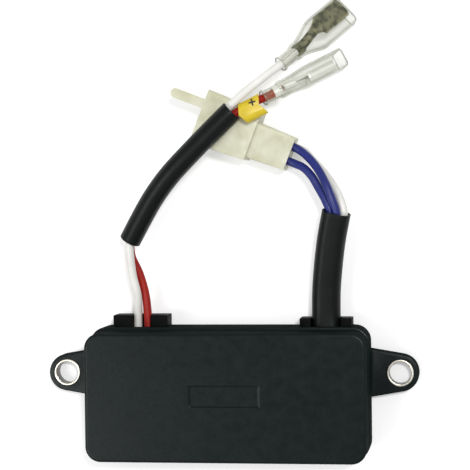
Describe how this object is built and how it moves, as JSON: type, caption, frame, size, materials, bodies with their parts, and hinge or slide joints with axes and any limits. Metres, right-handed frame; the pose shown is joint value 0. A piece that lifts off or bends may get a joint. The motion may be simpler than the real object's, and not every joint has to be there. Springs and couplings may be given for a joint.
{
  "type": "automatic voltage regulator",
  "caption": "Potted generator voltage regulator in a flat rounded case with fixing ears, booted spade leads and a sleeved plug lead.",
  "frame": {"origin": "midway between the two ear holes on the mounting plane, the underside of the case and ears", "axes": "+X from the left ear to the right ear with the leads at the top, +Y towards the leads, +Z out of the mounting plane"},
  "size_m": [0.1088, 0.1328, 0.021],
  "materials": {
    "case_plastic": "moulded charcoal plastic with a fine satin grain",
    "zinc_steel": "bright zinc-plated steel",
    "black_rubber": "matt black rubber",
    "board_laminate": "green glass-epoxy laminate",
    "bare_aluminium": "mill-finish aluminium",
    "black_epoxy": "moulded black epoxy",
    "can_sleeve": "shrunk blue film over an aluminium can",
    "film_case": "dipped red-brown resin",
    "resistor_coat": "beige lacquer",
    "diode_glass": "amber glass body",
    "potting": "poured dark epoxy resin",
    "white_insulation": "white PVC insulation",
    "red_insulation": "red PVC insulation",
    "blue_insulation": "blue PVC insulation",
    "black_sleeve": "soft black PVC sleeving",
    "marker_yellow": "yellow PVC marker ring",
    "dark_tin": "dull tin plating",
    "bright_tin": "bright tin plating",
    "clear_vinyl": "clear soft vinyl",
    "natural_nylon": "natural translucent nylon",
    "contact_brass": "tinned brass"
  },
  "bodies": {
    "root": {"case_base": "case_plastic", "case_cover": "case_plastic", "left_bushing": "zinc_steel", "right_bushing": "zinc_steel", "field_grommet": "black_rubber", "sense_grommet": "black_rubber", "circuit_board": "board_laminate", "heat_sink": "bare_aluminium", "power_transistor": "black_epoxy", "bridge_rectifier": "black_epoxy", "filter_capacitor": "can_sleeve", "film_capacitor": "film_case", "resistors": "resistor_coat", "zener_diodes": "diode_glass", "signal_transistor": "black_epoxy", "potting_resin": "potting", "white_field_lead": "white_insulation", "red_field_lead": "red_insulation", "blue_upper_lead": "blue_insulation", "blue_lower_lead": "blue_insulation", "white_sense_lead": "white_insulation", "round_sleeve": "black_sleeve", "flat_sleeve": "black_sleeve", "marker_ring": "marker_yellow", "minus_terminal": "dark_tin", "plus_terminal": "bright_tin", "minus_boot": "clear_vinyl", "plus_boot": "clear_vinyl", "plug_housing": "natural_nylon", "plug_contact_1": "contact_brass", "plug_contact_2": "contact_brass", "plug_contact_3": "contact_brass"}
  },
  "joints": []
}
